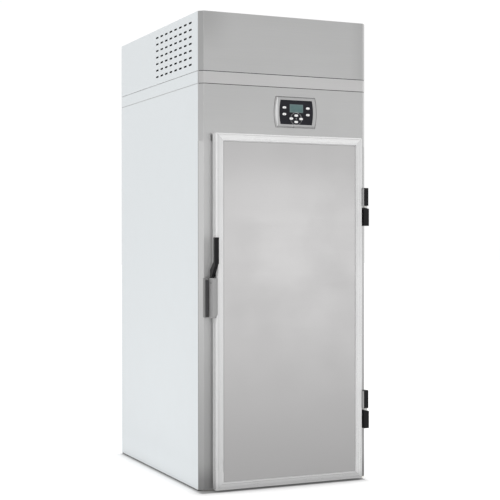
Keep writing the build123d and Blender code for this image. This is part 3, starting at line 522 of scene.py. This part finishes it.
LOOK = {
    "left_wall_skin": white, "right_wall_skin": white, "rear_wall_skin": white, "ceiling_skin": white,
    "compartment_side_sheets": white_vented, "compartment_rear_sheet": white, "compartment_top_cover": white_top,
    "ceiling_front_trim": steel_band, "fascia_panel": steel_x, "service_panel": steel_service, "door_jambs": steel_z,
    "foam_cores": foam_mat, "door_core": foam_mat, "chamber_liner": steel_liner_z, "panel_seals": seal_mat,
    "base_rails": dark_plastic, "floor_pan": tread, "compressor": black_paint, "condenser_coil": fin_black,
    "condenser_shroud": galvanised, "fan_motors": motor_grey, "condenser_fan": dark_plastic, "evaporator_fan": dark_plastic,
    "refrigerant_pipes": copper, "electrical_box": grey_plastic, "cable_gland": dark_plastic, "evaporator_coil": fin_mat,
    "air_plenum": steel_liner_x, "rear_air_duct": steel_liner_z, "drain_pipe": grey_plastic, "heater_element": steel_pin,
    "steam_humidifier": grey_plastic, "trolley_bumpers": grey_plastic, "door_skin": steel_door, "door_liner": steel_liner_z,
    "door_frame_profiles": profile, "door_gasket": grey_rubber, "hinge_frame_halves": black_plastic,
    "hinge_door_halves": hinge_metal, "hinge_covers": black_plastic, "hinge_pins": steel_pin, "hinge_bushes": nylon,
    "latch_body": latch_grey, "lever_pin": steel_pin, "latch_lever": black_plastic, "latch_plunger": nylon,
    "latch_keeper": keeper_grey, "keeper_pad": pad_rubber, "control_bezel": bezel_silver, "control_overlay": overlay_black,
    "lcd_window": lcd_mat, "control_board": board_mat,
}
for name in NODES:
    if name.startswith("key_"):
        LOOK[name] = key_white
for name, obj in NODES.items():
    obj.data.materials.clear()
    obj.data.materials.append(LOOK[name])


# ------------------------------------------------------------------ pieces in mesh code
def piece(name, verts, faces, look, body, smooth=30.0):
    """A mesh in row-frame metres that rides on a body."""
    mesh = bpy.data.meshes.new(name)
    mesh.from_pydata([tuple(v) for v in verts], [], faces)
    bm = bmesh.new()
    bm.from_mesh(mesh)
    bmesh.ops.recalc_face_normals(bm, faces=bm.faces)
    bm.to_mesh(mesh)
    bm.free()
    mesh.validate()
    mesh.shade_smooth()
    mesh.set_sharp_from_angle(angle=rad(smooth))
    mesh.materials.append(look)
    obj = bpy.data.objects.new(name, mesh)
    scene.collection.objects.link(obj)
    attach(obj, body)
    return obj


class Build:
    """Collects the vertices and faces of one piece."""

    def __init__(self):
        self.v, self.f = [], []

    def rings(self, rings, caps=True, loop=False):
        """Skins equal vertex rings one after another."""
        base, n = len(self.v), len(rings[0])
        for r in rings:
            self.v += [tuple(p) for p in r]
        count = len(rings)
        for i in range(count if loop else count - 1):
            a, b = base + i * n, base + ((i + 1) % count) * n
            for j in range(n):
                k = (j + 1) % n
                self.f.append((a + j, a + k, b + k, b + j))
        if caps and not loop:
            self.f.append(tuple(base + j for j in range(n)))
            self.f.append(tuple(base + (count - 1) * n + j for j in range(n)))
        return self

    def flat(self, outline, y_front, y_back):
        """Closed plate in the XZ plane."""
        return self.rings([[(x, y_back, z) for x, z in outline], [(x, y_front, z) for x, z in outline]])

    def band(self, outer, inner, y_front, y_back):
        """Closed flat ring between two outlines of equal count."""
        base, n = len(self.v), len(outer)
        for y in (y_back, y_front):
            self.v += [(x, y, z) for x, z in outer] + [(x, y, z) for x, z in inner]
        for j in range(n):
            k = (j + 1) % n
            o0, i0, o1, i1 = base, base + n, base + 2 * n, base + 3 * n
            self.f += [(o0 + j, o0 + k, o1 + k, o1 + j), (i0 + k, i0 + j, i1 + j, i1 + k),
                       (o1 + j, o1 + k, i1 + k, i1 + j), (o0 + k, o0 + j, i0 + j, i0 + k)]
        return self

    def tube(self, path, r, n=10, loop=False):
        """Round wire along a list of points."""
        rings, count = [], len(path)
        for i, p in enumerate(path):
            p = Vector(p)
            if loop:
                t = Vector(path[(i + 1) % count]) - Vector(path[i - 1])
            else:
                t = Vector(path[min(i + 1, count - 1)]) - Vector(path[max(i - 1, 0)])
            t.normalize()
            side = t.cross(Vector((0, 0, 1)))
            if side.length < 0.1:
                side = t.cross(Vector((0, 1, 0)))
            side.normalize()
            up = side.cross(t)
            rings.append([p + side * r * math.cos(2 * math.pi * j / n) + up * r * math.sin(2 * math.pi * j / n) for j in range(n)])
        return self.rings(rings, loop=loop)

    def screw(self, at, out, r, h, turn=0.0):
        """Pan-head screw with a hexagon socket, its head standing out along an axis."""
        out = Vector(out).normalized()
        u = out.orthogonal().normalized()
        w = out.cross(u)
        n = 24
        at = Vector(at)
        steps = [(1.0, -0.15), (1.0, 0.35), (0.93, 0.68), (0.78, 0.90), (0.58, 1.0)]
        rings = []
        for k, t in steps:
            rings.append([at + (u * math.cos(2 * math.pi * j / n) + w * math.sin(2 * math.pi * j / n)) * r * k + out * h * t for j in range(n)])
        for t in (1.0, 0.25):
            ring = []
            for j in range(n):
                a = 2 * math.pi * j / n
                q = (a + turn) % (math.pi / 3) - math.pi / 6
                ring.append(at + (u * math.cos(a) + w * math.sin(a)) * r * 0.40 / math.cos(q) + out * h * t)
            rings.append(ring)
        return self.rings(rings)

    def make(self, name, look, body, smooth=30.0):
        return piece(name, self.v, self.f, look, body, smooth)


mm = 0.001

# Door gasket: bellows section with a magnet pocket, mitred at the top corners, and a wiper under the door.
SECTION = [(1.5, 0), (20.5, 0), (20.6, 2.0), (18.6, 2.7), (18.3, 4.1), (19.6, 5.3), (19.6, 6.5), (17.9, 7.6), (18.5, 8.8),
           (19.7, 9.6), (20.2, 11.0), (20.0, 13.4), (18.6, 14.9), (4.4, 14.9), (3.0, 13.6), (2.6, 11.2), (3.1, 9.7), (4.3, 8.8),
           (4.9, 7.6), (3.1, 6.5), (3.1, 5.3), (4.6, 4.1), (4.2, 2.7), (0.5, 3.3), (0.0, 1.2)]
xl, xr, zt, zb = DOOR_L + 8 * mm, DOOR_R - 8 * mm, DOOR_T - 8 * mm, DOOR_B
stations = [[], [], [], []]
for u, v in SECTION:
    u, y = u * mm, Y_DR + v * mm
    for ring, x, z in zip(stations, (xl + u, xl + u, xr - u, xr - u), (zb, zt - u, zt - u, zb)):
        ring.append((x, y, z))
seal = Build().rings(stations)
comb = [(Y_DR - 10 * mm, zb), (Y_DR - 2 * mm, zb)]
for k in range(3):
    y = Y_DR - (2.6 + 2.7 * k) * mm
    comb += [(y, zb - 1.2 * mm), (y - 0.2 * mm, 0.0056), (y - 0.9 * mm, 0.0056), (y - 1.3 * mm, zb - 1.2 * mm)]
seal.rings([[(x, y, z) for y, z in comb] for x in (xl + 22 * mm, xr - 22 * mm)])
gasket = seal.make("gasket_bellows", grey_rubber, "door", 50.0)
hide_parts("door_gasket")


# Control panel: dark seal round the bezel standing in for its shadow line, printed ring, marks on the keys.
def bulge(hw, mid, hh, dx=0.0, dz=0.0, n=14):
    """Outline with straight top and bottom and sides that bow outwards, in metres round the panel's centre."""
    sag = mid - hw
    radius = (hh * hh + sag * sag) / (2 * sag)
    half = math.asin(hh / radius)
    pts = []
    for sign in (1, -1):
        for i in range(n + 1):
            a = (-half + 2 * half * i / n) * sign
            x = sign * (mid - radius + radius * math.cos(a))
            pts.append((CTRL_X + (x + dx) * mm, CTRL_Z + (radius * math.sin(a) * 1.0 + dz) * mm))
    return pts


# Painted shade: a dark rubber ring round the bezel, set up and to the right so it shows at the top and sides like a
# shadow line.
rim = Build().band(bulge(112.6, 122.6, 79.4, 0.4, 1.2), bulge(110.6, 120.6, 78.6), YF - 0.6 * mm, YF)
rim.make("bezel_shadow_ring", bezel_shadow_rubber, "cabinet")


def arc_band(r, width, a0, a1, n=28):
    """Thin printed arc on the overlay, angles in degrees from straight up."""
    out, inn = [], []
    for i in range(n + 1):
        a = rad(a0 + (a1 - a0) * i / n)
        out.append((CTRL_X + (r + width / 2) * mm * math.sin(a), CTRL_Z + (-32 + (r + width / 2) * math.cos(a)) * mm))
        inn.append((CTRL_X + (r - width / 2) * mm * math.sin(a), CTRL_Z + (-32 + (r - width / 2) * math.cos(a)) * mm))
    return out + inn[::-1]


prints = Build()
for a0, a1 in ((0, 77), (103, 180), (180, 257), (283, 360)):
    prints.flat(arc_band(31.2, 0.75, a0, a1), Y_OV - 0.06 * mm, Y_OV + 0.02 * mm)
dot = [(CTRL_X + 2.1 * mm * math.cos(2 * math.pi * j / 20), CTRL_Z - 32 * mm + 2.1 * mm * math.sin(2 * math.pi * j / 20)) for j in range(20)]
prints.flat(dot, Y_OV - 0.06 * mm, Y_OV + 0.02 * mm)
prints.make("panel_print", print_light, "cabinet")

Y_KEY = Y_OV - 1.4 * mm
TRI = [(0, 1.7), (-1.9, -1.3), (1.9, -1.3)]
BAR = [(-2.6, -3.6), (2.6, -3.6), (2.6, -2.2), (-2.6, -2.2)]
BARS = {"key_left_upper": [BAR, [(-0.7, -2.0), (0.7, -2.0), (0.7, 1.6), (-0.7, 1.6)]],
        "key_left_lower": [BAR, [(-2.2, 0.4), (2.2, 0.4), (0.0, -1.8)]],
        "key_right_upper": [BAR],
        "key_right_lower": [[(-2.6, -3.2), (2.6, -3.2), (2.6, -1.8), (-2.6, -1.8)], [(-2.6, 0.2), (2.6, 0.2), (2.6, 1.6), (-2.6, 1.6)]]}
TURN = {"key_up": 0, "key_left": 90, "key_down": 180, "key_right": 270}
key_body = {n: body for body, names in frame["record"]["behaviour"]["bodies"].items() for n in names}
for key in [n for n in NODES if n.startswith("key_")]:
    low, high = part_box(key)
    cx, cz = (low[0] + high[0]) / 2, (low[2] + high[2]) / 2
    if key in TURN:
        a = rad(TURN[key])
        shapes = [[(x * math.cos(a) - z * math.sin(a), x * math.sin(a) + z * math.cos(a)) for x, z in TRI]]
        look = print_grey
    else:
        shapes, look = BARS[key], print_dark
    mark = Build()
    for shape in shapes:
        mark.flat([(cx + x * mm, cz + z * mm) for x, z in shape], Y_KEY - 0.05 * mm, Y_KEY + 0.05 * mm)
    mark.make(key + "_mark", look, key_body[key])

# Wire guard under the circulation fan.
guard = Build()
GX, GY, GZ = 0.0, -0.250, 1.7978
for r in (0.030, 0.058, 0.086, 0.114, 0.139):
    guard.tube([(GX + r * math.cos(2 * math.pi * i / 72), GY + r * math.sin(2 * math.pi * i / 72), GZ) for i in range(72)], 0.0012, 8, True)
for k in range(4):
    a = rad(45 + 90 * k)
    c, q = math.cos(a), math.sin(a)
    guard.tube([(GX + c * r, GY + q * r, GZ - 0.0018) for r in (0.028, 0.06, 0.10, 0.146)], 0.0013, 8)
    guard.screw((GX + c * 0.150, GY + q * 0.150, 1.8000), (0, 0, -1), 0.0045, 0.0030)
guard.make("fan_guard", steel_pin, "cabinet", 40.0)

# Pleated filter mat between the left vents and the condenser.
mat = Build()
pleats = []
for i in range(145):
    y = -0.540 + 0.004 * i
    x = -0.4722 + (0.0066 if i % 2 else 0.0)
    pleats.append([(x, y, 2.1060), (x + 0.0014, y, 2.1060), (x + 0.0014, y, 2.3900), (x, y, 2.3900)])
mat.rings(pleats)
mat.make("filter_mat", filter_mat, "cabinet", 20.0)

# Screws of the rear sheet and of the hinge plates.
screws = Build()
for x in (-0.455, 0.0, 0.455):
    for z in (2.114, 2.388):
        screws.screw((x, YR, z), (0, 1, 0), 0.0048, 0.0028, 0.3 * x)
for x in (-0.455, 0.455):
    screws.screw((x, YR, 2.251), (0, 1, 0), 0.0048, 0.0028)
for z0 in (0.272, 1.330):
    for dz in (0.022, 0.068):
        screws.screw((0.449, -0.643, z0 + dz), (1, 0, 0), 0.0055, 0.0030, 0.4)
screws.make("screws", steel_pin, "cabinet", 40.0)


# ------------------------------------------------------------------ floor, sky and lights
floor_mesh = bpy.data.meshes.new("floor")
floor_mesh.from_pydata([(-60, -60, 0), (60, -60, 0), (60, 60, 0), (-60, 60, 0)], [], [(0, 1, 2, 3)])
floor = bpy.data.objects.new("floor", floor_mesh)
scene.collection.objects.link(floor)
floor_look = Graph("floor", Roughness=0.8)
fx, fy, fz = floor_look.split()
# Painted contact shadow: within a few cm of the cabinet's left and front the floor is darker and glows less; to the
# right and rear the fade is much shorter. Elsewhere the floor glows evenly white.
far = floor_look.math("ADD", floor_look.math("MULTIPLY", floor_look.math("MAXIMUM", floor_look.math("SUBTRACT", fx, 0.435), 0.0), 12.0),
                      floor_look.math("MULTIPLY", floor_look.math("MAXIMUM", floor_look.math("SUBTRACT", fy, 0.600), 0.0), 9.0))
out_x = floor_look.math("ADD", floor_look.math("MAXIMUM", floor_look.math("SUBTRACT", floor_look.math("MULTIPLY", fx, -1.0), 0.472), 0.0), far)
out_y = floor_look.math("MAXIMUM", floor_look.math("SUBTRACT", floor_look.math("MULTIPLY", fy, -1.0), 0.660), 0.0)
away = floor_look.math("SQRT", floor_look.math("ADD", floor_look.math("MULTIPLY", out_x, out_x), floor_look.math("MULTIPLY", out_y, out_y)))
clear = floor_look.remap(away, 0.0, 0.033, 0, 1, True)
floor_look.feed("Base Color", floor_look.mix(clear, (0.34, 0.34, 0.34), (0.92, 0.92, 0.92)))
floor_look.set("Emission Color", (1, 1, 1))
floor_look.feed("Emission Strength", floor_look.remap(away, 0.0, 0.12, 0.05, 0.40, True))
floor_look.set("Specular IOR Level", 0.1)
floor_mesh.materials.append(floor_look.mat)
floor.visible_glossy = False
floor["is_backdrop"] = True

world = bpy.data.worlds.new("sky")
scene.world = world
world.use_nodes = True
wt = world.node_tree
wt.nodes.clear()


def sky_node(kind, **values):
    n = wt.nodes.new(kind)
    for k, v in values.items():
        n.inputs[k].default_value = v
    return n


def sky_ramp(stops):
    """Radiance by the sine of the elevation, from straight down (-1) to straight up (1)."""
    n = sky_node("ShaderNodeValToRGB")
    while len(n.color_ramp.elements) < len(stops):
        n.color_ramp.elements.new(0.5)
    for e, (z, v) in zip(n.color_ramp.elements, stops):
        e.position = (z + 1) / 2
        e.color = (v, v, v, 1)
    wt.links.new(height.outputs[0], n.inputs[0])
    return n


coord = sky_node("ShaderNodeTexCoord")
axes = sky_node("ShaderNodeSeparateXYZ")
wt.links.new(coord.outputs["Generated"], axes.inputs[0])
height = sky_node("ShaderNodeMapRange", **{"From Min": -1.0, "From Max": 1.0})
wt.links.new(axes.outputs[2], height.inputs["Value"])
behind = sky_ramp([(-1.0, 0.45), (-0.20, 0.60), (-0.06, 1.02), (0.26, 1.02), (0.45, 0.70), (1.0, 0.60)])
before = sky_ramp([(-1.0, 0.40), (-0.24, 0.40), (-0.10, 0.86), (-0.045, 1.66), (0.01, 1.78), (0.055, 0.98), (0.10, 0.76), (0.18, 0.66), (1.0, 0.54)])
left = sky_ramp([(-1.0, 0.40), (-0.24, 0.34), (-0.12, 0.56), (-0.05, 1.32), (0.07, 1.58), (0.11, 0.80), (0.15, 0.40), (1.0, 0.44)])
side = sky_node("ShaderNodeMapRange", **{"From Min": -0.35, "From Max": 0.25})
side.interpolation_type = "SMOOTHSTEP"
wt.links.new(axes.outputs[1], side.inputs["Value"])
flank = sky_node("ShaderNodeMapRange", **{"From Min": -0.45, "From Max": -0.85})
flank.interpolation_type = "SMOOTHSTEP"
wt.links.new(axes.outputs[0], flank.inputs["Value"])


def sky_mix(fac, a, b):
    n = wt.nodes.new("ShaderNodeMix")
    n.data_type = "RGBA"
    wt.links.new(fac, n.inputs[0])
    wt.links.new(a, n.inputs[6])
    wt.links.new(b, n.inputs[7])
    return n


right = sky_ramp([(-1.0, 0.34), (-0.24, 0.34), (-0.10, 0.50), (0.0, 0.70), (0.10, 0.60), (1.0, 0.46)])
off_side = sky_node("ShaderNodeMapRange", **{"From Min": 0.60, "From Max": 0.90})
off_side.interpolation_type = "SMOOTHSTEP"
wt.links.new(axes.outputs[0], off_side.inputs["Value"])
ahead = sky_mix(flank.outputs[0], before.outputs[0], left.outputs[0])
ahead = sky_mix(off_side.outputs[0], ahead.outputs[2], right.outputs[0])
blend = sky_mix(side.outputs[0], ahead.outputs[2], behind.outputs[0])
sky = sky_node("ShaderNodeBackground", Strength=1.0)
wt.links.new(blend.outputs[2], sky.inputs[0])
wt.links.new(sky.outputs[0], sky_node("ShaderNodeOutputWorld").inputs[0])


def lamp(name, kind, energy, place, aim=None, size=None, size_y=None, angle=None):
    data = bpy.data.lights.new(name, kind)
    data.energy = energy
    if size:
        data.shape = "RECTANGLE"
        data.size, data.size_y = size, size_y or size
    if angle:
        data.angle = angle
    obj = bpy.data.objects.new(name, data)
    obj.location = place
    if aim is not None:
        obj.rotation_euler = (Vector(aim) - Vector(place)).to_track_quat("-Z", "Y").to_euler()
    scene.collection.objects.link(obj)
    return obj


lamp("overhead", "SUN", 0.75, (0, 0, 6), (0.05, 0.05, 0), angle=rad(90))
lamp("key_softbox", "AREA", 60, (-4.6, -7.4, 5.2), (0, 0, 1.2), 3.0, 3.0)
fill = lamp("low_fill", "AREA", 1.5, (-1.45, -0.05, 0.16), (-0.475, 0.0, 0.04), 1.8, 0.2)
fill.visible_camera = False
fill.visible_glossy = False


# ------------------------------------------------------------------ end
low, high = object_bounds()
